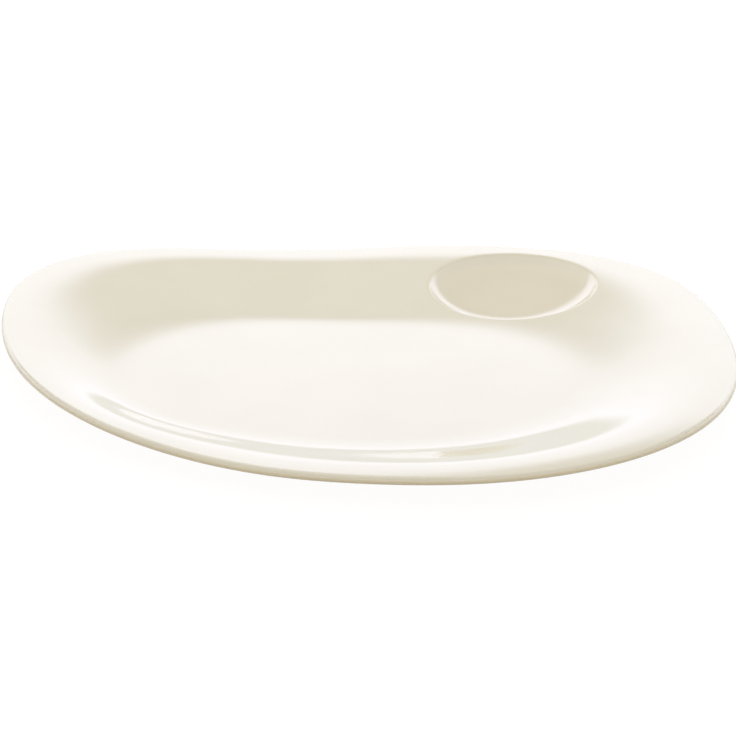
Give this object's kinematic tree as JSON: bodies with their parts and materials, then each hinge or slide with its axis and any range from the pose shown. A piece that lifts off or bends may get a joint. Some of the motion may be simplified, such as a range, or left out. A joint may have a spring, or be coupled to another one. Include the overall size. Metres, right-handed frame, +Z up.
{
  "type": "coupe plate",
  "caption": "Free-form coupe plate with a shallow round dip well in its back right wall, rolled lip, foot ring and glossy cream glaze.",
  "frame": {"origin": "The middle of the plate's bounding box in plan, on the table that the foot ring stands on.", "axes": "X runs to the right along the plate's length, Y runs away from the viewer towards the dip well's side, and Z is up."},
  "size_m": [0.317, 0.28, 0.017],
  "materials": {
    "bare_ceramic": "bare fired ceramic on the foot ring's bearing face, fine grained and matt",
    "face_glaze": "smooth glossy cream glaze with a soft sheen",
    "base_glaze": "smooth glossy cream glaze, slightly thinner at the foot ring"
  },
  "bodies": {
    "root": {"ceramic_body": "bare_ceramic", "glaze_coat": "face_glaze", "base_glaze": "base_glaze"}
  },
  "joints": []
}
